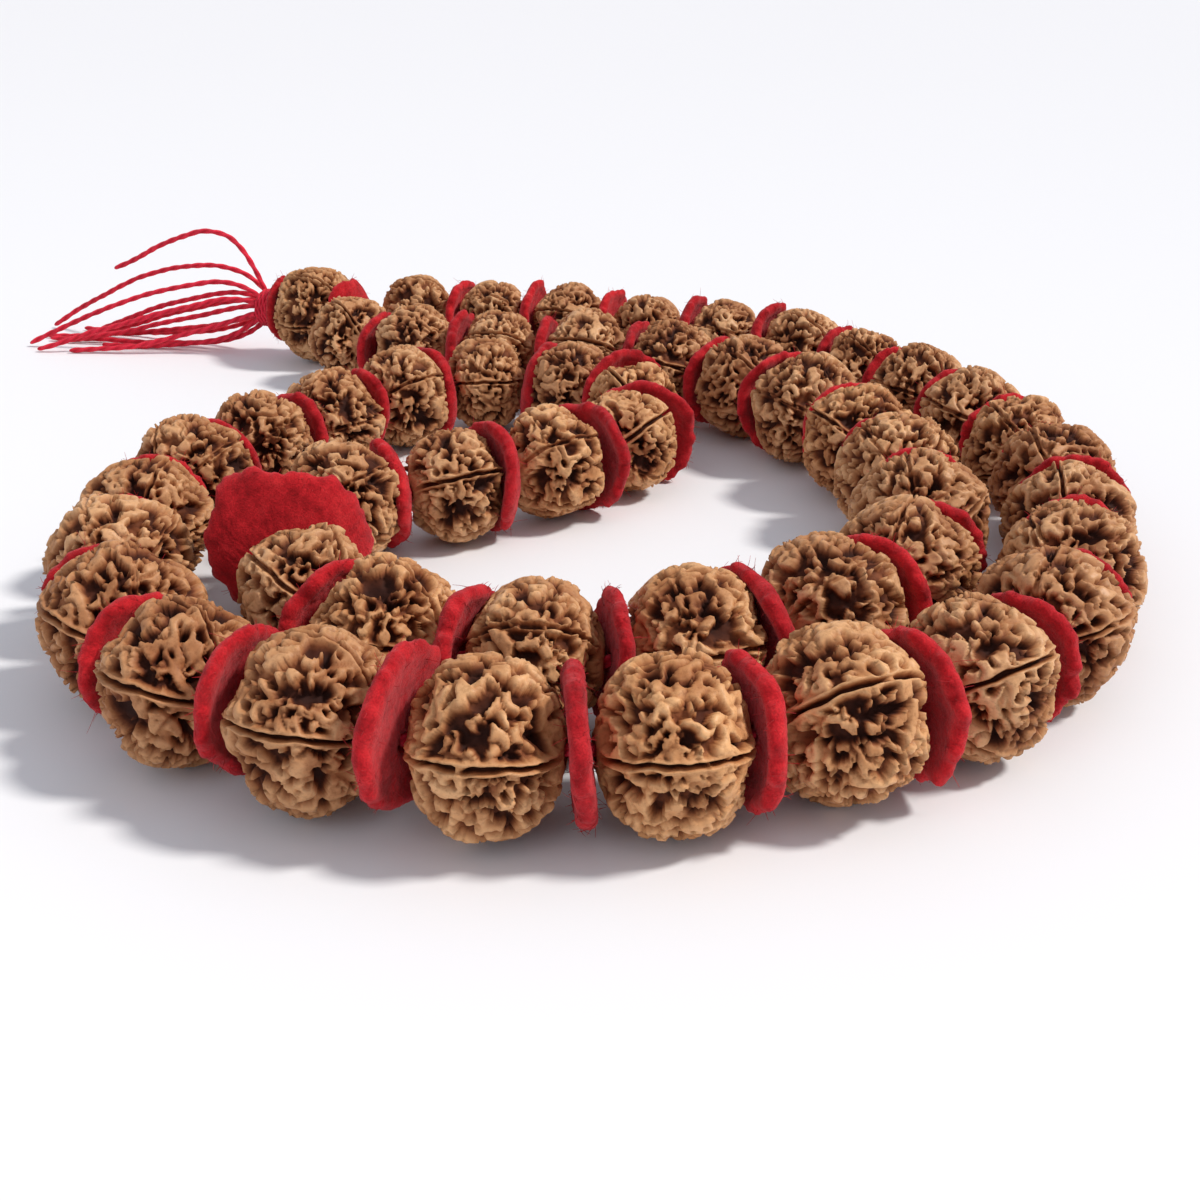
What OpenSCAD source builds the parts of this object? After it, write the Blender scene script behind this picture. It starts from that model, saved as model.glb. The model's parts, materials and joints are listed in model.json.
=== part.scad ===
// Mala prayer beads: seed beads and felt discs strung on one closed cord, whose two ends run
// through a guru bead into a tassel. The string is doubled and laid down in an oval spiral.
// Millimetres, +Z up. The origin is on the surface that the beads lie on, at the middle of
// the footprint of the beads, the discs and the knot.

/* [Seed beads] */
// Diameter of a middling bead, measured across its hole
bead_d = 22; // [21:0.5:23]
// Length of a bead along its hole, as a share of its diameter
bead_flatness = 0.82; // [0.78:0.01:0.84]
// Diameter of the drilled hole
bore_d = 3; // [2.8:0.1:3.4]

/* [Guru bead] */
// Diameter of the bead that joins the two ends of the cord
guru_d = 24; // [23:0.5:24.5]
// Diameter of its hole, which takes both strands side by side
guru_bore_d = 5; // [4.8:0.1:5.4]

/* [Felt discs] */
// Diameter of a disc between two seed beads
disc_d = 19.5; // [17:0.5:20]
// Diameter of the one large disc, in the inner turn
large_disc_d = 26; // [24:0.5:26]
// Diameter of the disc between the guru bead and the two strands
guru_disc_d = 14; // [11:0.5:14.5]
// Diameter of the disc between the guru bead and the knot
tassel_disc_d = 16; // [14:0.5:20]
// Thickness of every disc, pressed between its beads
disc_t = 1.5; // [1:0.1:1.6]

/* [Cord and tassel] */
// Diameter of the stringing cord
cord_d = 1.8; // [1.4:0.1:1.8]
// Diameter of the knot under the guru bead
knot_d = 10; // [9:0.5:12]
// Length of the knot
knot_length = 5; // [4:0.5:7]
// Diameter of one strand of the tassel
strand_d = 1.4; // [0.9:0.1:1.5]

/* [Hidden] */
// The middle of the string, point by point: out of the guru bead, along the inner turn to
// the U-turn in the middle, back along the outer turn, and into the guru bead again.
ROUTE = [
    [-62, 104], [-61, 90], [-40, 75], [0, 67], [30, 45], [50, 0], [50, -46], [30, -76],
    [-10, -88], [-40, -70], [-46, -30], [-15, -11], [6, 10], [6, 30], [-10, 45], [-30, 47],
    [-50, 25], [-71, -15], [-71, -60], [-53, -94], [-15, -111], [25, -106], [60, -80],
    [78, -25], [74, 20], [50, 70], [10, 92], [-45, 110], [-62, 104]
];
// The seed beads grow and shrink slowly along the string, by this much each way, ...
SIZE_SWING = 1.2;
// ... from one biggest bead, counted from 0, to the next one so many beads on ...
BIGGEST_BEAD = 9;
SWING_BEADS = 24;
// ... and each differs from its neighbours by up to about this much more.
SIZE_ODDNESS = 0.5;
// The large disc lies on the far side of this bead, counted from 0.
LARGE_DISC_AFTER = 15;
// How far the large disc's middle lies from its hole, to the left along the string and upwards.
LARGE_DISC_OFF = [0, 3];
// The tassel, one strand to a row: where it leaves the knot's face, sideways and upwards,
// how much its first middle point lifts it, how high its second one lies, and where its tip is.
STRANDS = [
    [-3.5, -1, -4, 1, -137, 115], [-3, 1.5, 3, 7, -146, 117], [-2, -2.5, -9, 1, -130, 121],
    [-1.5, 3, 8, 13, -150, 123], [-1, 0.5, -1, 4, -141, 126], [0, -3.5, -11, 2, -147, 129],
    [0, 2, 4, 9, -139, 132], [1, -1, -6, 2, -149, 132], [2, 1, 1, 6, -136, 135],
    [2.5, -1.5, -8, 1, -141, 140]
];
// Two springy strands that stand up in an arch. The first comes down again, and the second one
// ends in the air.
STRAYS = [[3.5, 1.5, 15, 18, -150, 144, 0], [1.5, 3.5, 27, 24, -129, 136, 17]];

SIDES = 8;                  // of the tubes that stand for cord
CURVE_STEPS = 10;           // points on the route between two of its given points
PROFILE_STEPS = 12;         // facets from a bead's waist to its mouth
BEAD_GAP = 2.6;             // free cord between two beads, which holds the disc
PITCH_DRAWN = 20.64;        // the bead spacing that ROUTE was drawn for
GURU_REACH = 16.5;          // from the guru bead's mouth to the centre of a bead beside it
GURU_HEADING = 154;         // direction from the strands' side to the tassel's side
STRAND_OFFSET = 1.1;        // of the two strands in the guru bead, each side of its axis
SLACK = 0.3;                // between a disc and what it lies against
LEAD = 12;                  // how far ahead of the knot a strand keeps its direction
MIDDLE = 0.6;               // where a strand's second middle point lies on its way
STRAND_RINGS = 6;
STRAY_RINGS = 9;

BEADS = 51;
GRID = (bead_flatness * bead_d + BEAD_GAP) / PITCH_DRAWN;
guru_r = guru_d / 2;
guru_half = guru_r * bead_flatness;
mouth = ROUTE[0] * GRID;
to_tassel = [cos(GURU_HEADING), sin(GURU_HEADING)];
guru_middle = mouth + to_tassel * guru_half;
knot_start = guru_half + 2 * SLACK + disc_t;
knot_face = guru_middle + to_tassel * (knot_start + knot_length);

// --- the string ---
function size_swing(i) = SIZE_SWING * cos(360 * (i - BIGGEST_BEAD) / SWING_BEADS);
function bead_r(i) = (bead_d + size_swing(i) + SIZE_ODDNESS * sin(137 * i)) / 2;
function half_length(i) = bead_r(i) * bead_flatness;
function unit(v) = v / norm(v);
function heading(v) = atan2(v.y, v.x);
function catmull(a, b, c, d, t) =
    0.5 * (2 * b + (c - a) * t + (2 * a - 5 * b + 4 * c - d) * t * t
        + (3 * b - a - 3 * c + d) * t * t * t);
function at(i) = ROUTE[max(0, min(len(ROUTE) - 1, i))] * GRID;

curve = [
    for (i = [0 : len(ROUTE) - 2])
        for (s = [0 : CURVE_STEPS - 1])
            catmull(at(i - 1), at(i), at(i + 1), at(i + 2), s / CURVE_STEPS)
];

// The first point of the curve from j on that is at least d away from p.
function reach(p, d, j) = j >= len(curve) - 1 || norm(curve[j] - p) >= d ? j : reach(p, d, j + 1);
// The point between a and b that is d away from p.
function crossing(p, d, a, b) =
    let (u = b - a, w = a - p, uu = u * u, uw = u * w, ww = w * w - d * d)
    a + u * ((-uw + sqrt(max(0, uw * uw - uu * ww))) / uu);
function spacing(i) = i == 0 ? GURU_REACH : half_length(i - 1) + half_length(i) + BEAD_GAP;
function string_from(i, p, j) =
    i >= BEADS ? []
    : let (d = spacing(i), k = reach(p, d, j), c = crossing(p, d, curve[k - 1], curve[k]))
      concat([c], string_from(i + 1, c, k));

centres = string_from(0, mouth, 1);
function centre(i) = i < 0 || i >= BEADS ? mouth : centres[i];
function along(i) = unit(centre(i + 1) - centre(i - 1));
function lifted(p, z) = [p.x, p.y, z];

// --- shapes ---
// A seed bead with its hole along Z.
module bead_shape(r, hole_r) {
    waist_to_mouth = acos(hole_r / r);
    rotate_extrude($fn = 64)
        polygon([
            for (s = [-PROFILE_STEPS : PROFILE_STEPS])
                let (a = waist_to_mouth * s / PROFILE_STEPS)
                [r * cos(a), r * bead_flatness * sin(a)]
        ]);
}

module laid(middle, z, direction) {
    translate([middle.x, middle.y, z])
        rotate([0, 90, heading(direction)])
            children();
}

module seed_bead(i) {
    color("peru")
        laid(centre(i), bead_r(i), along(i))
            bead_shape(bead_r(i), bore_d / 2);
}

module guru_bead() {
    color("sienna")
        laid(guru_middle, guru_r, to_tassel)
            bead_shape(guru_r, guru_bore_d / 2);
}

// A disc round its hole. off is how far its middle lies from the hole.
module disc_shape(d, hole_d, off = [0, 0]) {
    linear_extrude(height = disc_t, center = true)
        difference() {
            translate([-off.y, off.x])
                circle(d = d, $fn = 64);
            circle(d = hole_d, $fn = 32);
        }
}

// How far a bead's surface reaches from its middle, in a direction that is angle off its hole.
function bead_extent(i, angle) = norm([half_length(i) * cos(angle), bead_r(i) * sin(angle)]);
// The disc on the far side of bead i, square to the line between the two beads.
module disc_after(i, d, off = [0, 0]) {
    link = centre(i + 1) - centre(i);
    u = unit(link);
    before = bead_extent(i, heading(u) - heading(along(i)));
    after = bead_extent(i + 1, heading(u) - heading(along(i + 1)));
    mouths = (centre(i) + along(i) * half_length(i) + centre(i + 1)
        - along(i + 1) * half_length(i + 1)) / 2;
    slide = (before + norm(link) - after) / 2 - (mouths - centre(i)) * u;
    laid(mouths + u * slide, (bead_r(i) + bead_r(i + 1)) / 2, u)
        disc_shape(d, cord_d + 2 * SLACK, off);
}

module felt_discs() {
    color("crimson")
        for (i = [0 : BEADS - 2])
            if (i != LARGE_DISC_AFTER)
                disc_after(i, disc_d);
}

module large_felt_disc() {
    color("crimson")
        disc_after(LARGE_DISC_AFTER, large_disc_d, LARGE_DISC_OFF);
}

module guru_felt_disc() {
    color("crimson")
        laid(mouth - to_tassel * (SLACK + disc_t / 2), guru_r, to_tassel)
            disc_shape(guru_disc_d, guru_bore_d);
}

module tassel_felt_disc() {
    color("darkred")
        laid(guru_middle + to_tassel * (guru_half + SLACK + disc_t / 2), guru_r, to_tassel)
            disc_shape(tassel_disc_d, guru_bore_d);
}

module tassel_knot() {
    edge = knot_d / 10;
    color("crimson")
        laid(guru_middle + to_tassel * knot_start, guru_r, to_tassel)
            rotate_extrude($fn = 48)
                polygon([
                    [0, 0],
                    for (a = [-90 : 30 : 0]) [knot_d / 2 - edge + edge * cos(a), edge + edge * sin(a)],
                    for (a = [0 : 30 : 90])
                        [knot_d / 2 - edge + edge * cos(a), knot_length - edge + edge * sin(a)],
                    [0, knot_length]
                ]);
}

// --- cords ---
// The ring of a tube of radius r around point p, square to direction d.
function ring(p, d, r) =
    let (side = unit(cross([d.x, d.y, d.z], [0, 0, 1])), up = cross(side, unit(d)))
    [for (k = [0 : SIDES - 1]) p + r * (cos((k + 0.5) * 360 / SIDES) * side
        + sin((k + 0.5) * 360 / SIDES) * up)];

// A closed tube through stations, each a point and the direction of the tube there.
module tube(stations, r) {
    last = len(stations) - 1;
    skin = [
        for (j = [0 : last - 1])
            for (k = [0 : SIDES - 1])
                let (n = (k + 1) % SIDES)
                [j * SIDES + k, j * SIDES + n, (j + 1) * SIDES + n, (j + 1) * SIDES + k]
    ];
    near_end = [for (k = [SIDES - 1 : -1 : 0]) k];
    far_end = [for (k = [0 : SIDES - 1]) last * SIDES + k];
    polyhedron(
        points = [for (s = stations) each ring(s[0], s[1], r)],
        faces = concat(skin, [near_end, far_end])
    );
}

function through_bead(i) =
    let (a = along(i), h = half_length(i), c = centre(i), z = bead_r(i))
    [[lifted(c - a * h, z), lifted(a, 0)], [lifted(c + a * h, z), lifted(a, 0)]];
// The strand beside the guru bead's axis, from the knot to its mouth.
function in_guru(side) =
    let (off = side * STRAND_OFFSET * [to_tassel.y, -to_tassel.x], d = lifted(-to_tassel, 0))
    [
        [lifted(guru_middle + to_tassel * knot_start + off, guru_r), d],
        [lifted(mouth + off, guru_r), d],
        [lifted(mouth - to_tassel * 2 * disc_t + off, guru_r), d]
    ];
function turned_round(stations) =
    [for (i = [len(stations) - 1 : -1 : 0]) [stations[i][0], -stations[i][1]]];

module stringing_cord() {
    color("firebrick")
        tube(
            concat(
                in_guru(-1),
                [for (i = [0 : BEADS - 1]) each through_bead(i)],
                turned_round(in_guru(1))
            ),
            cord_d / 2
        );
}

function bezier(a, b, c, d, t) =
    a * pow(1 - t, 3) + b * 3 * t * pow(1 - t, 2) + c * 3 * t * t * (1 - t) + d * pow(t, 3);
function bezier_slope(a, b, c, d, t) =
    (b - a) * pow(1 - t, 2) + (c - b) * 2 * t * (1 - t) + (d - c) * t * t;
module strand(row, rings) {
    start = lifted(knot_face + row[0] * [to_tassel.y, -to_tassel.x], guru_r + row[1]);
    tip = [row[4] * GRID, row[5] * GRID, strand_d / 2 + (len(row) > 6 ? row[6] : 0)];
    lead = start + lifted(to_tassel, 0) * LEAD + [0, 0, row[2]];
    mid = lifted(start + (tip - start) * MIDDLE, row[3]);
    tube(
        [
            for (k = [0 : rings - 1])
                let (t = k / (rings - 1))
                [bezier(start, lead, mid, tip, t), bezier_slope(start, lead, mid, tip, t)]
        ],
        strand_d / 2
    );
}

module tassel_strands() {
    color("crimson")
        for (row = STRANDS)
            strand(row, STRAND_RINGS);
}

module stray_strands() {
    color("crimson")
        for (row = STRAYS)
            strand(row, STRAY_RINGS);
}

// --- parts ---
function bead_name(i) = str("bead_", i < 9 ? "0" : "", i + 1);

for (i = [0 : BEADS - 1])
    seed_bead(i);
guru_bead();
stringing_cord();
felt_discs();
large_felt_disc();
guru_felt_disc();
tassel_felt_disc();
tassel_knot();
tassel_strands();
stray_strands();
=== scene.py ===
import json
import math

import bpy
import numpy as np
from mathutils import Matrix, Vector


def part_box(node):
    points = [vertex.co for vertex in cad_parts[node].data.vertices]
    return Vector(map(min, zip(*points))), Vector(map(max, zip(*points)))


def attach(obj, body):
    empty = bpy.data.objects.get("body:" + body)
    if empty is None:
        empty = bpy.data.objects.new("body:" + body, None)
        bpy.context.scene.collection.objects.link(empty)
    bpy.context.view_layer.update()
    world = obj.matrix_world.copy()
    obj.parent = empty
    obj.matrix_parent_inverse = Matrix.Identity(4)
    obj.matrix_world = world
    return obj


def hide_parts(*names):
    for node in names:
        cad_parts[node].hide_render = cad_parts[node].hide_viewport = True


# Looks of the mala prayer beads: knobbly seed beads, felt discs, cotton cord and tassel.
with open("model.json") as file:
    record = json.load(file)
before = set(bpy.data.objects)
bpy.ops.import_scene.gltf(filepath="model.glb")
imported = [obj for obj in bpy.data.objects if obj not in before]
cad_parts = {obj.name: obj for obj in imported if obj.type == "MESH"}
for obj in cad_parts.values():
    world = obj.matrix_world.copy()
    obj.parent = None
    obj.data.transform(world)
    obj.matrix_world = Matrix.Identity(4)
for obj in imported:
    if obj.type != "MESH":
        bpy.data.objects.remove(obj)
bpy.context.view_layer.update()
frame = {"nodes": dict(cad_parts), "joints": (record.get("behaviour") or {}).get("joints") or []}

MM = 0.001
STRING = "string"  # the body that the cord, the discs and the tassel belong to

# --- what the CAD model says ---
FLATNESS = 0.82  # a bead's length along its hole, as a share of its diameter
GURU_STRAND_OFFSET = 1.1  # of the two strands in the guru bead, each side of its axis
DISC_T = 1.5  # thickness of a CAD disc
SLACK = 0.3  # between a CAD disc and what it lies against
KNOT_LENGTH = 5.0
CORD_D = 1.8
STRAND_D = 1.4
LEAD = 12.0  # how far ahead of the knot a strand keeps its direction
MIDDLE = 0.6  # where a strand's second middle point lies on its way
LARGE_DISC_AFTER = 15  # the large disc lies on the far side of this bead, counted from 0
# The tassel, as in part.scad: where each strand leaves the knot's face, sideways and upwards,
# how much its first middle point lifts it, how high its second one lies, and where its tip is.
STRANDS = [
    (-3.5, -1, -4, 1, -137, 115), (-3, 1.5, 3, 7, -146, 117), (-2, -2.5, -9, 1, -130, 121),
    (-1.5, 3, 8, 13, -150, 123), (-1, 0.5, -1, 4, -141, 126), (0, -3.5, -11, 2, -147, 129),
    (0, 2, 4, 9, -139, 132), (1, -1, -6, 2, -149, 132), (2, 1, 1, 6, -136, 135),
    (2.5, -1.5, -8, 1, -141, 140),
]
STRAYS = [(3.5, 1.5, 15, 18, -150, 144, 0), (1.5, 3.5, 27, 24, -129, 136, 17)]
LARGE_DISC_OFF = (0, 3.4)  # its middle from its hole: to the left along the string, and up
FIBRES = 130  # loose ones on a felt disc
FELT_COLUMNS = 144  # of a disc's mesh, round its hole
FELT_RINGS = 14  # of one face of it

# --- looks ---
SEED = 11
BORE_R = 1.5
RELIEF_FREE_R = 2.1  # no relief closer to the hole than this
RELIEF_FULL_R = 5.0  # full relief further out than this
FACES = 5  # grooves that run from hole to hole on one seed
ROWS_OUT = 92  # of a bead's mesh, from mouth to mouth
ROWS_IN = 4  # of its bore
BORE_PIT_SHADE = -1.6  # the relief value that gives the bore the painted shade of the deepest pits
FULLNESS = 2.3  # 2 makes a seed's outline an ellipse, and more makes its shoulders fuller
# Where a groove shows on the beads nearest the viewer: degrees from the top towards the front.
SHOWN_GROOVES = {
    "bead_31": 66, "bead_32": 68, "bead_33": 72, "bead_34": 75, "bead_35": 74, "bead_36": 43,
    "bead_37": 57, "bead_38": 68, "bead_21": 50, "bead_22": 30,
}


def unit(v):
    v = np.asarray(v, float)
    return v / np.linalg.norm(v)


def smooth(low, high, x):
    t = np.clip((x - low) / (high - low), 0, 1)
    return t * t * (3 - 2 * t)


# --- gradient noise ---
_rng = np.random.default_rng(SEED)
_TABLE = _rng.permutation(256)
_SLOPES = _rng.normal(size=(256, 3))
_SLOPES /= np.linalg.norm(_SLOPES, axis=1)[:, None]


def noise(points, seed=0):
    """Smooth noise of about -0.6 to 0.6 that changes over a distance of 1."""
    cell = np.floor(points).astype(int)
    f = points - cell
    u = f * f * f * (f * (f * 6 - 15) + 10)
    total = np.zeros(len(points))
    for corner in range(8):
        o = np.array([corner & 1, corner >> 1 & 1, corner >> 2 & 1])
        c = (cell + o) & 255
        h = _TABLE[(c[:, 0] + seed * 37) & 255]
        h = _TABLE[(h + c[:, 1]) & 255]
        h = _TABLE[(h + c[:, 2]) & 255]
        weight = np.prod(np.where(o, u, 1 - u), axis=1)
        total += weight * np.einsum("ij,ij->i", _SLOPES[h], f - o)
    return total


def noise3(points, seed=0):
    return np.stack([noise(points, seed + k) for k in (1, 2, 3)], axis=1)


# --- meshes ---
def add_mesh(name, points_mm, faces, attributes=None, smooth_shaded=True):
    """An object with these points, in millimetres, and these faces, all of one corner count."""
    points = np.asarray(points_mm, float) * MM
    faces = np.asarray(faces, int)
    corners = faces.shape[1]
    mesh = bpy.data.meshes.new(name)
    mesh.vertices.add(len(points))
    mesh.vertices.foreach_set("co", points.astype(np.float32).ravel())
    mesh.loops.add(faces.size)
    mesh.loops.foreach_set("vertex_index", faces.ravel().astype(np.int32))
    mesh.polygons.add(len(faces))
    mesh.polygons.foreach_set("loop_start", np.arange(0, faces.size, corners, dtype=np.int32))
    mesh.polygons.foreach_set("use_smooth", np.full(len(faces), smooth_shaded))
    mesh.update(calc_edges=True)
    for key, values in (attributes or {}).items():
        made = mesh.attributes.new(key, "FLOAT", "POINT")
        made.data.foreach_set("value", np.asarray(values, np.float32))
    piece = bpy.data.objects.new(name, mesh)
    bpy.context.scene.collection.objects.link(piece)
    return piece


def grid_faces(rows, columns, closed_rows):
    """Quads of a grid whose columns wrap round, and whose rows do too if closed_rows."""
    last = rows if closed_rows else rows - 1
    r = np.arange(last)[:, None]
    c = np.arange(columns)[None, :]
    r2, c2 = (r + 1) % rows, (c + 1) % columns
    quads = np.stack([r * columns + c, r * columns + c2, r2 * columns + c2, r2 * columns + c], -1)
    return quads.reshape(-1, 4)


def outward(points, quads):
    """The faces, turned round if they look inwards."""
    a, b, c, d = (points[quads[:, k]] for k in range(4))
    volume = np.einsum("ij,ij->i", a, np.cross(b, c)) + np.einsum("ij,ij->i", a, np.cross(c, d))
    return quads[:, ::-1] if volume.sum() < 0 else quads


def tube_points(path, radii, sides, lobes=0, lobe_depth=0.0, twist_per_mm=0.0):
    """Rings of points round a path. lobes, lobe_depth and twist_per_mm make it a twisted cord."""
    path = np.asarray(path, float)
    along = np.gradient(path, axis=0)
    along /= np.linalg.norm(along, axis=1)[:, None]
    side = np.cross(along, [0, 0, 1.0])
    side /= np.linalg.norm(side, axis=1)[:, None]
    up = np.cross(side, along)
    run = np.concatenate([[0], np.cumsum(np.linalg.norm(np.diff(path, axis=0), axis=1))])
    angle = np.arange(sides) * 2 * math.pi / sides
    lobe = 1 - lobe_depth * (0.5 - 0.5 * np.cos(lobes * angle))
    turned = angle[None, :] + (run * twist_per_mm)[:, None]
    r = np.asarray(radii, float).reshape(-1, 1) * lobe[None, :]
    return (
        path[:, None, :]
        + (r * np.cos(turned))[..., None] * side[:, None, :]
        + (r * np.sin(turned))[..., None] * up[:, None, :]
    ), np.broadcast_to(lobe[None, :], r.shape)


def closed_tube(name, path, radii, sides, **twist):
    """A twisted tube along a path, closed with a fan at each end."""
    rings, lobe = tube_points(path, radii, sides, **twist)
    rows = len(rings)
    points = np.concatenate([rings.reshape(-1, 3), [path[0]], [path[-1]]])
    quads = grid_faces(rows, sides, closed_rows=False)
    k = np.arange(sides)
    first, last = rows * sides, rows * sides + 1
    ends = np.concatenate([
        np.stack([np.full(sides, first), (k + 1) % sides, k], 1),
        np.stack([np.full(sides, last), first - sides + k, first - sides + (k + 1) % sides], 1),
    ])
    triangles = np.concatenate([quads[:, [0, 1, 2]], quads[:, [0, 2, 3]], ends])
    a, b, c = (points[triangles[:, i]] for i in range(3))
    if np.einsum("ij,ij->i", a, np.cross(b, c)).sum() < 0:
        triangles = triangles[:, ::-1]
    # the groove attribute: low in the creases between plies, where the cord's material paints shade
    groove = np.concatenate([lobe.ravel(), [1.0, 1.0]])
    return add_mesh(name, points, triangles, {"groove": groove})


# --- the string, as the frame has it ---
class Bead:
    """A bead's place: its middle, the direction of its hole, and its size, in millimetres."""

    def __init__(self, node):
        joint = next(j for j in frame["joints"] if j["child"] == node)
        low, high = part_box(node)
        self.node = node
        self.middle = np.array(joint["pos_m"]) / MM
        self.axis = unit(joint["axis"])
        self.r = (high.z - low.z) / MM / 2
        self.half = self.r * FLATNESS
        self.side = np.cross(self.axis, [0, 0, 1.0])
        if self.side[1] > 0:
            self.side = -self.side

    def extent(self, direction):
        """How far its surface reaches from its middle in a level direction."""
        c = abs(float(self.axis @ direction))
        return math.hypot(self.half * c, self.r * math.sqrt(max(0.0, 1 - c * c)))


beads = [Bead(n) for n in sorted(frame["nodes"]) if n.startswith("bead_")]
guru = Bead("guru_bead")
to_tassel = guru.axis
back = np.array([to_tassel[1], -to_tassel[0], 0])  # level, square to the guru bead's hole
guru_mouth = guru.middle - to_tassel * guru.half
knot_start = guru.middle + to_tassel * (guru.half + 2 * SLACK + DISC_T)
knot_face = knot_start + to_tassel * KNOT_LENGTH

# --- camera: at the photograph's viewing angle ---
camera = bpy.data.objects.new("camera", bpy.data.cameras.new("camera"))
bpy.context.scene.collection.objects.link(camera)
camera.data.lens = 44.6
camera.data.sensor_width = 36.0
camera.data.clip_start = 0.01
camera.location = (0.0, -0.2625, 0.0965)
camera.rotation_euler = (math.radians(90 - 23.75), 0, 0)
bpy.context.scene.camera = camera


# --- tassel strands: free cord ends ---
def strand_path(row, steps=56):
    """The same curve as the CAD strand: straight out of the knot, then down to its tip."""
    side, up, lift, middle_z, tip_x, tip_y = row[:6]
    tip_z = STRAND_D / 2 + (row[6] if len(row) > 6 else 0)
    start = knot_face + back * side + np.array([0, 0, up])
    tip = np.array([tip_x, tip_y, tip_z])
    lead = start + to_tassel * LEAD + np.array([0, 0, lift])
    middle = start + (tip - start) * MIDDLE
    middle[2] = middle_z
    t = np.linspace(0, 1, steps)[:, None]
    return (
        start * (1 - t) ** 3 + lead * 3 * t * (1 - t) ** 2 + middle * 3 * t * t * (1 - t)
        + tip * t ** 3
    )


def make_strand(name, row, node):
    path = strand_path(row)
    free = smooth(0, 0.3, np.linspace(0, 1, len(path)))[:, None]
    sway = noise3(path / 14, 60) * [1, 1, 0.35] + 0.25 * noise3(path / 5, 63) * [1, 1, 0.3]
    path = path + 1.5 * sway * free
    path[:, 2] = np.maximum(path[:, 2], STRAND_D / 2)
    run = np.concatenate([[0], np.cumsum(np.linalg.norm(np.diff(path, axis=0), axis=1))])
    at = np.linspace(0, run[-1], 200)
    dense = np.stack([np.interp(at, run, path[:, k]) for k in range(3)], 1)
    radii = STRAND_D / 2 * (1 + 0.12 * noise(np.stack([at * 0.4, at * 0, at * 0], 1) + row[0], 66))
    radii[-6:] *= [0.98, 0.95, 0.9, 0.8, 0.65, 0.4]
    piece = closed_tube(name, dense, radii, 14, lobes=2, lobe_depth=0.2, twist_per_mm=0.85)
    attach(piece, STRING)
    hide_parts(node)
    return piece


strands = [
    make_strand(f"tassel_strand_{i + 1:02d}", row, "tassel_strands")
    for i, row in enumerate(STRANDS)
]
strands += [
    make_strand(f"stray_strand_{i + 1}", row, "stray_strands")
    for i, row in enumerate(STRAYS)
]


# --- seed beads ---
def sector_columns():
    """Places of the columns between two grooves, from 0 to 1: close together at the grooves."""
    near = np.array([0, 0.14, 0.28, 0.42, 0.6, 0.84, 1.14, 1.5])
    half = 6.9  # half a sector at a bead's waist, in mm
    inner = np.linspace(near[-1], half, 17)[1:]
    one_way = np.concatenate([near, inner]) / (2 * half)
    return np.concatenate([one_way, 1 - one_way[-2:0:-1]])


def seed_relief(p, from_groove, strength, from_hole, offset, wild):
    """Height of a seed's surface over its smooth outline, in mm, from 0 down to about -2."""
    q = p + offset
    warp = 0.9 * noise3(q / 4.2, 20)
    a = noise((q + warp) * 0.34, 1)
    b = noise((q + warp * 0.7) * 0.66, 2)
    lumps = a + 0.75 * b
    pits = smooth(0.06, 0.22, -lumps)
    pit_depth = 1.45 + 1.2 * np.clip(noise(q * 0.3, 3) + 0.25, 0, 0.8)
    worm = np.abs(noise((q + 1.2 * warp) * 0.40, 4))
    folds = 1 - smooth(0.02, 0.12, worm)
    holes = smooth(0.15, 0.27, noise((q + warp) * 0.72, 5))
    h = -pit_depth * pits - 0.9 * folds * (1 - pits) * wild - 1.5 * holes * (1 - pits)
    h += 0.30 * noise(q * 0.95, 6) + 0.07 * noise(q * 2.2, 7)
    h += 1.5 * noise(q * 0.16, 9) - 0.10
    # the groove: a slit between two raised lips, which the relief breaks in places
    s = np.abs(from_groove)
    course = noise(q * 0.33, 10)
    lip = 0.08 + 0.3 * noise(q * 0.7, 11) - 0.25 * smooth(0.5, 1.1, s)
    edge = (0.55 + 0.7 * course) * (0.4 + 0.6 * strength)
    lip_zone = (1 - smooth(edge, edge + 0.75 + 0.6 * noise(q * 0.6, 12), s)) * strength
    h = h * (1 - lip_zone) + lip * lip_zone
    h = np.where(h > 0.1, 0.1 + 0.35 * (h - 0.1), h)
    slit = 0.17 + 0.13 * smooth(-0.2, 0.3, course)
    bridged = smooth(0.30, 0.36, noise(q * 0.55, 13)) * 0.8
    h -= 1.9 * (1 - smooth(slit, slit + 0.24, s)) * strength * (1 - bridged)
    cover = smooth(RELIEF_FREE_R, RELIEF_FULL_R, from_hole)
    return h * cover - 0.12 * (1 - cover)


def bead_profile(bead):
    """Radius and height of a bead's rows: mouth to mouth on the outside, and back in the bore."""
    power = 2 / FULLNESS
    top = math.acos((BORE_R / bead.r) ** (1 / power))
    latitude = np.linspace(-top, top, ROWS_OUT)
    end_z = bead.half * math.sin(top) ** power
    r = np.concatenate([bead.r * np.cos(latitude) ** power, np.full(ROWS_IN, BORE_R)])
    z = np.concatenate([
        bead.half * np.sign(latitude) * np.abs(np.sin(latitude)) ** power,
        np.linspace(end_z, -end_z, ROWS_IN + 2)[1:-1],
    ])
    return r, z


def groove_places(bead, rng):
    """Where a bead's grooves are, how far it is turned, and whether one of them is placed."""
    starts = np.arange(FACES) * 2 * math.pi / FACES + rng.uniform(-0.07, 0.07, FACES)
    shown = SHOWN_GROOVES.get(bead.node)
    spin = rng.uniform(0, 2 * math.pi) if shown is None else math.radians(shown) - starts[0]
    return starts + spin, spin, shown is not None


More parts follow.
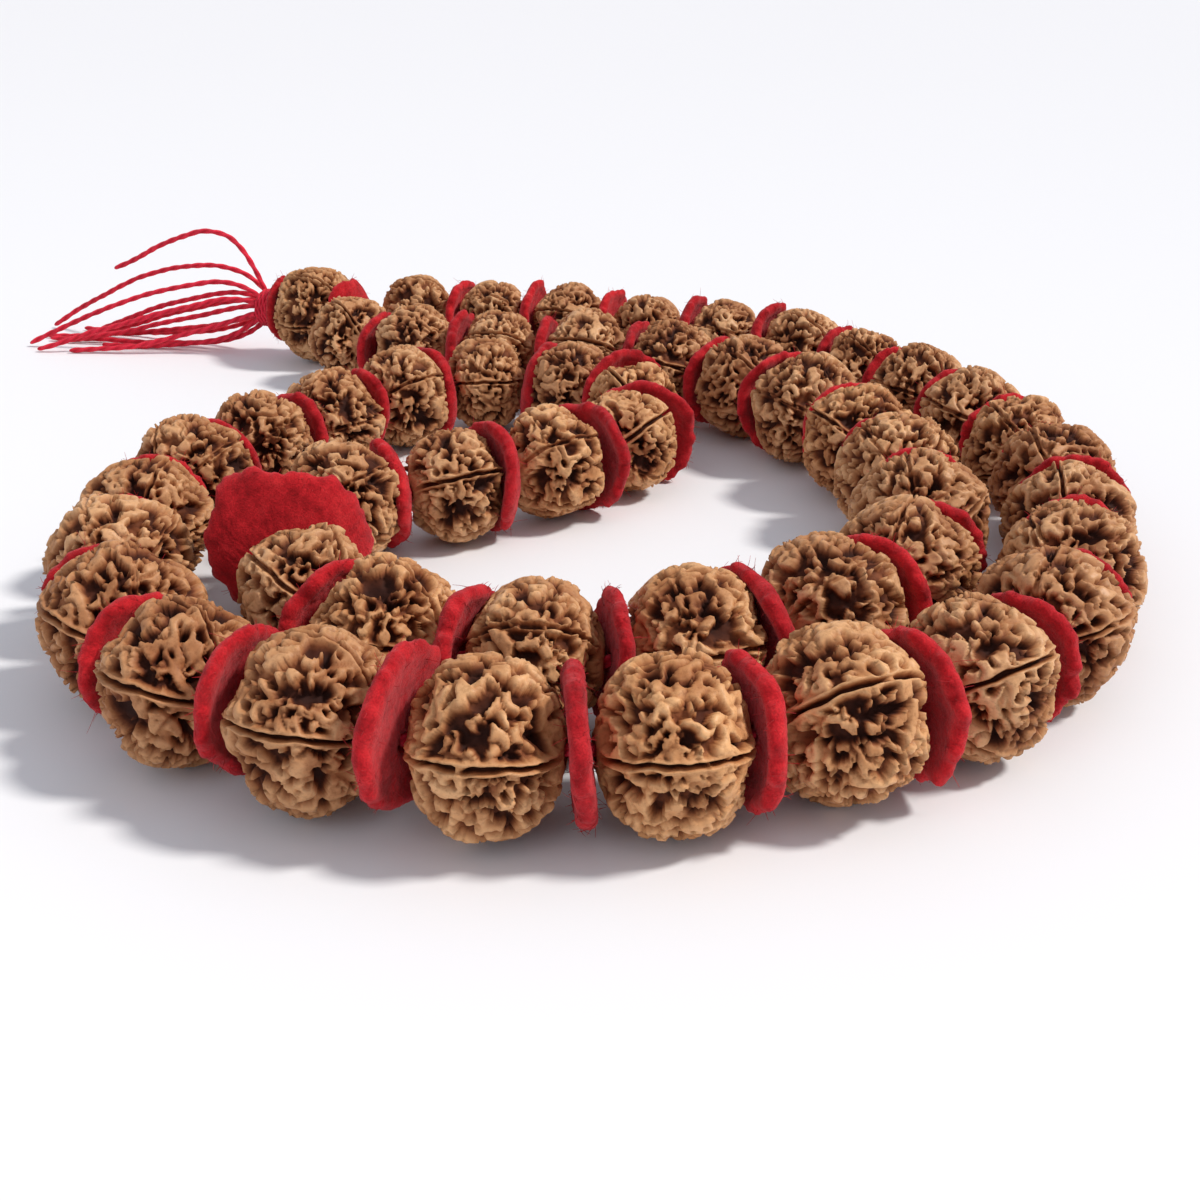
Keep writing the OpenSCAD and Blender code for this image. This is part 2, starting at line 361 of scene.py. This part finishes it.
def groove_sway(r, z, spin, share):
    """How far the columns of a bead swing aside, row by row, so that no groove is straight."""
    line = [np.stack([z, np.full(len(z), k * 7.3 + spin), z * 0], 1) for k in range(FACES)]
    course = np.stack([
        0.10 * noise(line[k] * 0.16, 13) + 0.035 * noise(line[k] * 0.55, 14) for k in range(FACES)
    ])
    course *= smooth(BORE_R, RELIEF_FULL_R, r)[None, :]
    course = np.concatenate([course, course[:1]])
    return np.concatenate([
        course[k][:, None] * (1 - share) + course[k + 1][:, None] * share for k in range(FACES)
    ], axis=1)


def outline_normal(bead, r, z, out):
    """The normal of a bead's smooth outline, so that relief stands square to it."""
    nr = (r / bead.r) ** (FULLNESS - 1) / bead.r
    nz = np.sign(z) * (np.abs(z) / bead.half) ** (FULLNESS - 1) / bead.half
    nr[ROWS_OUT:], nz[ROWS_OUT:] = 0, 0
    size = np.maximum(np.hypot(nr, nz), 1e-9)
    return out * (nr / size)[:, None, None] + bead.axis * (nz / size)[:, None, None]


def five_sided(bead, r, z, share):
    """How far a bead is sunk between two grooves, which makes its section five-sided."""
    between = np.sin(math.pi * np.concatenate([share] * FACES)) ** 2
    sunk = between[None, :] * (0.5 + 0.7 * (z / bead.half) ** 2 * smooth(0, 4, r - BORE_R))[:, None]
    return sunk * np.clip((r - BORE_R) / 3, 0, 1)[:, None]


def seed_bead(bead, name, rng, wild=1.0):
    """A seed bead as one closed mesh, with its bore, its five grooves and its relief."""
    r, z = bead_profile(bead)
    starts, spin, placed = groove_places(bead, rng)
    ends = np.append(starts[1:], starts[0] + 2 * math.pi)
    share = sector_columns()
    theta = np.concatenate([s + (e - s) * share for s, e in zip(starts, ends)])
    columns = len(theta)
    angle = theta[None, :] + groove_sway(r, z, spin, share)
    to_start = np.concatenate([(e - s) * share for s, e in zip(starts, ends)])
    to_end = np.concatenate([(e - s) * (1 - share) for s, e in zip(starts, ends)])
    from_groove = np.minimum(to_start, to_end)[None, :] * r[:, None]
    clear = rng.uniform(0.2, 0.8, FACES)
    if placed:
        clear[0] = 1.0
    nearest = np.where(to_start < to_end, 0, 1)
    sector = np.repeat(np.arange(FACES), len(share))
    strength = np.broadcast_to(clear[(sector + nearest) % FACES], from_groove.shape)
    up = np.array([0, 0, 1.0])
    out = np.cos(angle)[..., None] * up + np.sin(angle)[..., None] * bead.side
    flat = (bead.axis * z[:, None, None] + out * r[:, None, None]).reshape(-1, 3)
    normal = outline_normal(bead, r, z, out).reshape(-1, 3)
    from_hole = np.repeat(r, columns)
    height = seed_relief(
        flat, from_groove.ravel(), strength.ravel(), from_hole, rng.uniform(0, 200, 3), wild
    )
    rise = height - five_sided(bead, r, z, share).ravel()
    points = flat + normal * rise[:, None] + bead.middle
    quads = outward(points - bead.middle, grid_faces(len(r), columns, closed_rows=True))
    tone = np.full(len(points), rng.uniform(0, 1))
    in_bore = np.repeat(np.arange(len(r)) >= ROWS_OUT, columns)
    # the bore takes the painted shade of the deepest pits, through the relief attribute that the
    # colour follows
    height = np.where(in_bore, BORE_PIT_SHADE, height)
    piece = add_mesh(name, points, quads, {"relief": height, "tone": tone})
    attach(piece, bead.node)
    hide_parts(bead.node)
    return piece


bead_rng = np.random.default_rng(SEED + 1)
seeds = [seed_bead(b, "seed_" + b.node, bead_rng, bead_rng.uniform(0.5, 1.0)) for b in beads]
guru_piece = seed_bead(guru, "seed_guru", bead_rng)


# --- felt discs ---
def fibres(roots, ways, lengths, rng):
    """Loose fibres as thin closed tubes: their points and triangles."""
    count, rings, sides = len(roots), 5, 3
    t = np.linspace(0, 1, rings)[None, :, None]
    reach = lengths[:, None, None]
    curl = rng.normal(0, 0.5, (count, 1, 3))
    path = roots[:, None] + ways[:, None] * reach * t + curl * reach * t ** 2
    side = np.cross(ways, rng.normal(size=(count, 3)))
    side /= np.linalg.norm(side, axis=1)[:, None]
    up = np.cross(side, ways)
    r = 0.055 * (1 - 0.55 * t[..., None])
    a = (np.arange(sides) * 2 * math.pi / sides)[None, None, :, None]
    tube = path[:, :, None] + r * (np.cos(a) * side[:, None, None] + np.sin(a) * up[:, None, None])
    quads = grid_faces(rings, sides, closed_rows=False)
    one = np.concatenate([
        quads[:, [0, 1, 2]], quads[:, [0, 2, 3]],
        [[2, 1, 0], [rings * sides - 3, rings * sides - 2, rings * sides - 1]],
    ])
    all_faces = one[None] + (np.arange(count) * rings * sides)[:, None, None]
    return tube.reshape(-1, 3), all_faces.reshape(-1, 3)


def felt_profile(r_out, t_in, t_out, hole_r):
    """Radius and height of a disc's rows: hole to rim, round the rim, and back."""
    rim_r = t_out / 2
    share = np.linspace(0, 1, FELT_RINGS)
    radius = hole_r + (r_out - rim_r - hole_r) * (1 - (1 - share) ** 1.5)
    half = 0.5 * (t_in + (t_out - t_in) * smooth(0.3, 0.85, share))
    arc = np.radians(np.linspace(90, -90, 11)[1:-1])
    profile_r = np.concatenate([radius, r_out - rim_r + rim_r * np.cos(arc), radius[::-1]])
    profile_h = np.concatenate([half, rim_r * np.sin(arc), -half[::-1]])
    return profile_r, profile_h


def felt_bend(profile_r, profile_h, r_out, circle, spot, cup, wave, ragged):
    """Where a disc's points lie out from its hole and along its axis, once torn and bent."""
    outline = 0.15 * noise(circle * 1.5 + spot, 14) + 0.10 * noise(circle * 4 + spot, 15)
    outline = ragged * (outline + 0.05 * noise(circle * 9 + spot, 19))
    reach = (profile_r / r_out)[:, None]
    rr = profile_r[:, None] * (1 + outline[None, :] * reach ** 3)
    # bent towards one of its beads, by an amount that varies round the rim
    bend = cup * (1 + 0.7 * noise(circle * 1.1 + spot, 16))[None, :]
    wavy = wave * 1.8 * noise(circle * 1.4 + spot, 21)[None, :]
    lift = bend * (rr / 10) ** 3 + wavy * reach ** 2
    slope = np.arctan(3 * bend * (rr / 10) ** 2 / 10)
    h = profile_h[:, None] * (1 + 0.25 * noise(circle * 2.2 + spot, 22)[None, :])
    return rr - h * np.sin(slope), lift + h * np.cos(slope), reach


def matted(points, spot):
    """How far a disc's points stand out in the small lumps of its matted fibre."""
    return (0.20 * noise(points * 0.9 + spot, 17) + 0.17 * noise(points * 2.1 + spot, 18)
            + 0.10 * noise(points * 4.4 + spot, 23))


def loose_fibres(points, push, profile_r, r_out, rng):
    """Loose fibres, most of them short, that stand out from a disc's rim and outer faces."""
    weight = np.repeat(smooth(0.55 * r_out, r_out, profile_r), FELT_COLUMNS) + 0.02
    picks = rng.choice(len(points), FIBRES, p=weight / weight.sum())
    ways = push[picks] + rng.normal(0, 0.55, (FIBRES, 3))
    ways /= np.linalg.norm(ways, axis=1)[:, None]
    lengths = rng.uniform(0.5, 1.3, FIBRES)
    lengths[:2] = rng.uniform(1.5, 3.0, 2)
    hair, hair_faces = fibres(points[picks] - 0.1 * push[picks], ways, lengths, rng)
    hair[:, 2] = np.maximum(hair[:, 2], 0.1)
    return hair, hair_faces


def felt_disc(name, middle, direction, r_out, t_in, t_out, hole_r, rng, cup=0.0, off=(0, 0),
              tilt=0.05, wave=0.5, ragged=1.0):
    """A felt disc: a ring with a rounded, uneven rim, thinner where the beads press on it.

    cup is how far its rim bends along direction. off is how far its middle lies from its hole,
    sideways and upwards.
    """
    axis = unit(np.asarray(direction) + rng.normal(0, tilt, 3))
    side = unit(np.cross([0, 0, 1.0], axis))
    up = np.cross(axis, side)
    profile_r, profile_h = felt_profile(r_out, t_in, t_out, hole_r)
    angle = np.arange(FELT_COLUMNS) * 2 * math.pi / FELT_COLUMNS
    spot = rng.uniform(0, 100, 3)
    circle = np.stack([np.cos(angle), np.sin(angle), np.zeros(FELT_COLUMNS)], 1)
    out_r, out_h, reach = felt_bend(profile_r, profile_h, r_out, circle, spot, cup, wave, ragged)
    spread = off[0] * side + off[1] * up
    radial = np.cos(angle)[None, :, None] * side + np.sin(angle)[None, :, None] * up
    points = (
        middle + rng.normal(0, 0.2) * side + rng.normal(0, 0.2) * up
        + reach[..., None] ** 2 * spread + out_r[..., None] * radial + out_h[..., None] * axis
    ).reshape(-1, 3)
    rows = len(profile_r)
    quads = outward(points - middle, grid_faces(rows, FELT_COLUMNS, closed_rows=True))
    radial = np.broadcast_to(radial, (rows, FELT_COLUMNS, 3)).reshape(-1, 3)
    rim = np.repeat(smooth(r_out - 0.8 * t_out, r_out, profile_r), FELT_COLUMNS)[:, None]
    face = np.repeat(np.sign(profile_h), FELT_COLUMNS)[:, None] * axis
    push = radial * rim + face * (1 - rim)
    fuzz = matted(points, spot)
    points = points + push * fuzz[:, None]
    # felt that reaches the surface is pressed flat on it
    points[:, 2] = np.maximum(points[:, 2], 0.05)
    solid = np.concatenate([quads[:, [0, 1, 2]], quads[:, [0, 2, 3]]])
    hair, hair_faces = loose_fibres(points, push, profile_r, r_out, rng)
    faces = np.concatenate([solid, hair_faces + len(points)])
    points = np.concatenate([points, hair])
    fuzz = np.concatenate([fuzz, np.full(len(hair), 0.1)])
    tone = np.full(len(points), rng.uniform(0, 1))
    piece = add_mesh(name, points, faces, {"tone": tone, "fuzz": fuzz})
    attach(piece, STRING)
    return piece


def link_place(i):
    """The middle and the direction of the disc on the far side of bead i, and the free gap."""
    a, b = beads[i], beads[i + 1]
    link = (b.middle - a.middle) * [1, 1, 0]
    pitch = np.linalg.norm(link)
    u = link / pitch
    before, after = a.extent(u), b.extent(u)
    mouths = (a.middle + a.axis * a.half + b.middle - b.axis * b.half) / 2
    slide = (before + pitch - after) / 2 - (mouths - a.middle) @ u
    return mouths + u * slide, u, pitch - before - after


# Discs nearest the viewer, by the bead before them: how far they bend, and how high they sit.
SHOWN_DISCS = {"bead_32": (3.2, 1.2), "bead_33": (1.6, 2.4), "bead_34": (0.3, 0.2)}
felt_rng = np.random.default_rng(SEED + 2)
discs = []
for i in range(len(beads) - 1):
    middle, direction, gap = link_place(i)
    # it is bent towards whichever bead lies nearer the front
    slant = -direction[1]
    cup = math.copysign(felt_rng.uniform(2.6, 3.9) * min(1, 0.12 + 2.2 * abs(slant)), slant)
    rise = felt_rng.normal(0, 0.5)
    # the discs in the side arcs are worn smaller than the others
    across = smooth(30, 60, abs(middle[0] - 5)) * smooth(-105, -75, middle[1])
    disc_r = felt_rng.uniform(9.3, 10.1) - felt_rng.uniform(0.8, 2.0) * across
    if beads[i].node in SHOWN_DISCS:
        bend, rise = SHOWN_DISCS[beads[i].node]
        cup = math.copysign(bend, slant)
    if i == LARGE_DISC_AFTER:
        disc = felt_disc("large_felt_disc_piece", middle, direction, 11.8, gap - 0.1, 2.6, 1.3,
                         felt_rng, cup=2.2, off=LARGE_DISC_OFF, wave=1.0, ragged=1.3)
        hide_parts("large_felt_disc")
    else:
        disc = felt_disc(f"felt_disc_{i + 1:02d}", middle, direction,
                         disc_r, gap - 0.1, felt_rng.uniform(2.0, 2.5), 1.3,
                         felt_rng, cup=cup, off=(felt_rng.normal(0, 0.4), rise))
        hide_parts("felt_discs")
    discs.append(disc)
disc = felt_disc("guru_felt_disc_piece", guru_mouth - to_tassel * (SLACK + DISC_T / 2),
                 to_tassel, 8.8, 1.8, 2.1, 2.5, felt_rng, cup=3.4, tilt=0.02, wave=0.3)
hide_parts("guru_felt_disc")
discs.append(disc)
disc = felt_disc("tassel_felt_disc_piece",
                 guru.middle + to_tassel * (guru.half + SLACK + DISC_T / 2),
                 to_tassel, 7.9, 1.8, 2.2, 2.5, felt_rng, cup=-3.0, tilt=0.03, wave=0.4)
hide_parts("tassel_felt_disc")
discs.append(disc)


# --- stringing cord ---
def cord_route():
    """The middle of the cord: from the knot through the guru bead, round and back again."""
    def in_guru(side):
        off = back * GURU_STRAND_OFFSET * side
        return [knot_start + off, guru_mouth + off, guru_mouth - to_tassel * 2 * DISC_T + off]

    stops = in_guru(-1)
    for b in beads:
        stops += [b.middle - b.axis * b.half, b.middle + b.axis * b.half]
    return np.array(stops + in_guru(1)[::-1])


def rounded(stops, step):
    """Points every step mm along the stops, with the corners rounded off."""
    run = np.concatenate([[0], np.cumsum(np.linalg.norm(np.diff(stops, axis=0), axis=1))])
    at = np.arange(0, run[-1], step)
    line = np.stack([np.interp(at, run, stops[:, k]) for k in range(3)], 1)
    kernel = np.hanning(7)
    kernel /= kernel.sum()
    padded = np.concatenate([np.repeat(line[:1], 3, 0), line, np.repeat(line[-1:], 3, 0)])
    return np.stack([np.convolve(padded[:, k], kernel, "valid") for k in range(3)], 1)


route = rounded(cord_route(), 0.45)
stringing = closed_tube(
    "stringing_cord_piece", route, np.full(len(route), CORD_D / 2), 15,
    lobes=3, lobe_depth=0.24, twist_per_mm=1.1,
)
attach(stringing, STRING)
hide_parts("stringing_cord")

# --- knot: the cord wound round the tassel's neck, over a core ---
KNOT_R = 4.2
WRAP_TURNS = 4
WRAP_R = 0.62
turns = np.linspace(0, WRAP_TURNS, WRAP_TURNS * 40)
climb = 0.6 + (KNOT_LENGTH - 1.2) * turns / WRAP_TURNS
wrap_path = (
    knot_start + climb[:, None] * to_tassel
    + KNOT_R * (np.cos(turns * 2 * math.pi)[:, None] * back
                + np.sin(turns * 2 * math.pi)[:, None] * np.array([0, 0, 1.0]))
)


def wound_tube(name, path, centre_line, radius, sides, **twist):
    """A tube wound round centre_line, whose rings can't use +Z as their up direction."""
    along = np.gradient(path, axis=0)
    along /= np.linalg.norm(along, axis=1)[:, None]
    up = path - centre_line
    up -= along * np.einsum("ij,ij->i", up, along)[:, None]
    up /= np.linalg.norm(up, axis=1)[:, None]
    side = np.cross(along, up)
    angle = np.arange(sides) * 2 * math.pi / sides
    run = np.concatenate([[0], np.cumsum(np.linalg.norm(np.diff(path, axis=0), axis=1))])
    lobe = 1 - twist["lobe_depth"] * (0.5 - 0.5 * np.cos(twist["lobes"] * angle))
    turned = angle[None, :] + (run * twist["twist_per_mm"])[:, None]
    taper = np.minimum(1, 0.35 + np.minimum(np.arange(len(path)), np.arange(len(path))[::-1]) / 4)
    r = radius * lobe[None, :] * taper[:, None]
    rings = (path[:, None] + (r * np.cos(turned))[..., None] * side[:, None]
             + (r * np.sin(turned))[..., None] * up[:, None])
    points = np.concatenate([rings.reshape(-1, 3), [path[0]], [path[-1]]])
    quads = grid_faces(len(path), sides, closed_rows=False)
    k = np.arange(sides)
    first, last = len(path) * sides, len(path) * sides + 1
    ends = np.concatenate([
        np.stack([np.full(sides, first), (k + 1) % sides, k], 1),
        np.stack([np.full(sides, last), first - sides + k, first - sides + (k + 1) % sides], 1),
    ])
    triangles = np.concatenate([quads[:, [0, 1, 2]], quads[:, [0, 2, 3]], ends])
    a, b, c = (points[triangles[:, i]] - path.mean(0) for i in range(3))
    if np.einsum("ij,ij->i", a, np.cross(b, c)).sum() < 0:
        triangles = triangles[:, ::-1]
    # the groove attribute: low in the creases between plies, where the cord's material paints shade
    groove = np.concatenate([np.broadcast_to(lobe, r.shape).ravel(), [1.0, 1.0]])
    return add_mesh(name, points, triangles, {"groove": groove})


wrap = wound_tube(
    "knot_wrap", wrap_path, knot_start + climb[:, None] * to_tassel, WRAP_R, 12,
    lobes=2, lobe_depth=0.2, twist_per_mm=1.4,
)
core_steps = np.linspace(0, 1, 12)
core_path = knot_start + np.outer(0.1 + (KNOT_LENGTH - 0.2) * core_steps, to_tassel)
core_r = 4.0 - 1.3 * np.abs(2 * core_steps - 1) ** 3
core = closed_tube("knot_core", core_path, core_r, 40, lobes=12, lobe_depth=0.06, twist_per_mm=0.05)
for piece in (wrap, core):
    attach(piece, STRING)
    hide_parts("tassel_knot")


# --- materials ---
def new_material(name):
    material = bpy.data.materials.new(name)
    material.use_nodes = True
    tree = material.node_tree
    return material, tree, tree.nodes["Principled BSDF"]


def node(tree, kind, inputs=None, **settings):
    made = tree.nodes.new(kind)
    for key, value in settings.items():
        setattr(made, key, value)
    for key, value in (inputs or {}).items():
        if isinstance(value, bpy.types.NodeSocket):
            tree.links.new(value, made.inputs[key])
        else:
            made.inputs[key].default_value = value
    return made


def ramp(tree, factor, stops):
    made = node(tree, "ShaderNodeValToRGB", {"Fac": factor})
    elements = made.color_ramp.elements
    while len(elements) < len(stops):
        elements.new(0.5)
    for element, (place, colour) in zip(elements, stops):
        element.position = place
        element.color = (*colour, 1)
    return made.outputs["Color"]


def attribute(tree, name):
    return node(tree, "ShaderNodeAttribute", attribute_name=name).outputs["Fac"]


def object_noise(tree, scale, detail=3.0, roughness=0.55):
    where = node(tree, "ShaderNodeTexCoord").outputs["Object"]
    return node(tree, "ShaderNodeTexNoise", {
        "Vector": where, "Scale": scale, "Detail": detail, "Roughness": roughness,
    }).outputs["Fac"]


def map_range(tree, value, low, high, to_low=0.0, to_high=1.0):
    return node(tree, "ShaderNodeMapRange", {
        "Value": value, "From Min": low, "From Max": high, "To Min": to_low, "To Max": to_high,
    }).outputs["Result"]


def mixed(tree, kind, factor, a, b):
    made = node(tree, "ShaderNodeMix", data_type="RGBA", blend_type=kind)
    for index, value in ((0, factor), (6, a), (7, b)):
        if isinstance(value, bpy.types.NodeSocket):
            tree.links.new(value, made.inputs[index])
        else:
            made.inputs[index].default_value = value
    return made.outputs[2]


def seed_material(name, shade):
    material, tree, shader = new_material(name)
    relief = attribute(tree, "relief")
    tone = attribute(tree, "tone")
    blotch = object_noise(tree, 260, 4)
    grain = object_noise(tree, 1500, 4, 0.65)
    wander = node(tree, "ShaderNodeMath", {0: blotch, 1: 0.5}, operation="SUBTRACT").outputs[0]
    height = node(tree, "ShaderNodeMath", {0: wander, 1: 0.9, 2: relief},
                  operation="MULTIPLY_ADD").outputs[0]
    level = map_range(tree, height, -2.1, 0.25)
    # painted shade: the colour follows the relief, near black in the pits, the bore and the slits,
    # and lightest on the ridges
    colour = ramp(tree, level, [
        (0.0, (0.030, 0.006, 0.002)), (0.22, (0.07, 0.016, 0.005)), (0.40, (0.20, 0.062, 0.022)),
        (0.58, (0.38, 0.162, 0.066)), (0.78, (0.52, 0.262, 0.122)), (1.0, (0.68, 0.390, 0.200)),
    ])
    warm = mixed(tree, "MULTIPLY", 1.0, colour, ramp(tree, tone, [
        (0.0, (0.84 * shade, 0.74 * shade, 0.66 * shade)),
        (0.35, (0.96 * shade, 0.92 * shade, 0.86 * shade)),
        (0.7, (1.0 * shade, 0.98 * shade, 0.94 * shade)),
        (1.0, (1.08 * shade, 1.02 * shade, 0.90 * shade)),
    ]))
    speckle = mixed(tree, "MULTIPLY", 1.0, warm, ramp(tree, grain, [
        (0.30, (0.72, 0.66, 0.60)), (0.5, (1, 1, 1)), (0.72, (1.08, 1.06, 1.02)),
    ]))
    tree.links.new(speckle, shader.inputs["Base Color"])
    tree.links.new(map_range(tree, level, 0.3, 1.0, 0.78, 0.40), shader.inputs["Roughness"])
    shader.inputs["Specular IOR Level"].default_value = 0.22
    bump = node(tree, "ShaderNodeBump", {"Height": grain, "Strength": 0.35, "Distance": 0.0002})
    tree.links.new(bump.outputs["Normal"], shader.inputs["Normal"])
    return material


def felt_material():
    material, tree, shader = new_material("wool_felt")
    tone = attribute(tree, "tone")
    cloud = object_noise(tree, 420, 4)
    fibre = object_noise(tree, 3200, 5, 0.7)
    base = ramp(tree, cloud, [
        (0.28, (0.34, 0.005, 0.009)), (0.5, (0.56, 0.012, 0.019)), (0.72, (0.70, 0.026, 0.032)),
    ])
    toned = mixed(tree, "MULTIPLY", 1.0, base, ramp(tree, tone, [
        (0.0, (0.80, 0.75, 0.80)), (1.0, (1.08, 1.1, 1.05)),
    ]))
    woven = mixed(tree, "MULTIPLY", 1.0, toned, ramp(tree, fibre, [
        (0.3, (0.62, 0.55, 0.55)), (0.55, (1, 1, 1)), (0.75, (1.2, 1.25, 1.2)),
    ]))
    tree.links.new(woven, shader.inputs["Base Color"])
    shader.inputs["Roughness"].default_value = 0.95
    shader.inputs["Specular IOR Level"].default_value = 0.15
    shader.inputs["Sheen Weight"].default_value = 0.35
    shader.inputs["Sheen Roughness"].default_value = 0.5
    shader.inputs["Sheen Tint"].default_value = (1.0, 0.35, 0.35, 1)
    bump = node(tree, "ShaderNodeBump", {"Height": fibre, "Strength": 0.6, "Distance": 0.0004})
    tree.links.new(bump.outputs["Normal"], shader.inputs["Normal"])
    return material


def cotton_material():
    material, tree, shader = new_material("cotton_cord")
    groove = attribute(tree, "groove")
    fibre = object_noise(tree, 3600, 4, 0.65)
    cloud = object_noise(tree, 180, 2)
    # painted shade: the cord darkens down the creases between its plies, where the groove attribute
    # is low
    base = ramp(tree, map_range(tree, groove, 0.76, 1.0), [
        (0.0, (0.44, 0.005, 0.018)), (0.5, (0.72, 0.014, 0.040)), (1.0, (0.84, 0.026, 0.060)),
    ])
    clouded = mixed(tree, "MULTIPLY", 1.0, base, ramp(tree, cloud, [
        (0.3, (0.82, 0.8, 0.82)), (0.7, (1.08, 1.1, 1.08)),
    ]))
    spun = mixed(tree, "MULTIPLY", 1.0, clouded, ramp(tree, fibre, [
        (0.3, (0.7, 0.66, 0.66)), (0.6, (1.08, 1.08, 1.08)),
    ]))
    tree.links.new(spun, shader.inputs["Base Color"])
    shader.inputs["Roughness"].default_value = 0.8
    shader.inputs["Specular IOR Level"].default_value = 0.25
    shader.inputs["Sheen Weight"].default_value = 0.2
    shader.inputs["Sheen Tint"].default_value = (1.0, 0.45, 0.45, 1)
    bump = node(tree, "ShaderNodeBump", {"Height": fibre, "Strength": 0.5, "Distance": 0.0002})
    tree.links.new(bump.outputs["Normal"], shader.inputs["Normal"])
    return material


def floor_material():
    material, tree, shader = new_material("pale_floor")
    shader.inputs["Base Color"].default_value = (0.86, 0.86, 0.87, 1)
    shader.inputs["Roughness"].default_value = 0.55
    shader.inputs["Specular IOR Level"].default_value = 0.3
    return material


def paint(pieces, material):
    for piece in pieces:
        piece.data.materials.clear()
        piece.data.materials.append(material)


paint(seeds, seed_material("seed", 1.0))
paint([guru_piece], seed_material("guru_seed", 0.92))
paint(discs, felt_material())
paint([*strands, stringing, wrap, core], cotton_material())

# --- stage and light ---
FLOOR_HALF = 20.0  # metres
corners = np.array([[-1, -1, 0], [1, -1, 0], [1, 1, 0], [-1, 1, 0]]) * FLOOR_HALF / MM
floor = add_mesh("floor", corners, [[0, 1, 2, 3]], smooth_shaded=False)
paint([floor], floor_material())


def area_light(name, place, aim, size, power, colour=(1, 1, 1)):
    data = bpy.data.lights.new(name, "AREA")
    data.shape = "DISK"
    data.size = size
    data.energy = power
    data.color = colour
    lamp = bpy.data.objects.new(name, data)
    lamp.location = place
    lamp.rotation_euler = (Vector(aim) - Vector(place)).to_track_quat("-Z", "Y").to_euler()
    bpy.context.scene.collection.objects.link(lamp)


sun = bpy.data.objects.new("key", bpy.data.lights.new("key", "SUN"))
sun.data.energy = 2.8
sun.data.angle = math.radians(9)
sun.data.color = (1.0, 0.97, 0.93)
SUN_FROM = Vector((0.66, -0.02, 0.75))
sun.rotation_euler = (-SUN_FROM).to_track_quat("-Z", "Y").to_euler()
bpy.context.scene.collection.objects.link(sun)
area_light("fill", (-0.7, -0.9, 0.7), (0, 0, 0), 0.9, 2, (0.93, 0.96, 1.0))
world = bpy.data.worlds.new("studio")
world.use_nodes = True
world.node_tree.nodes["Background"].inputs["Color"].default_value = (0.87, 0.90, 1.0, 1)
world.node_tree.nodes["Background"].inputs["Strength"].default_value = 0.56
bpy.context.scene.world = world
bpy.context.scene.view_settings.view_transform = "Standard"
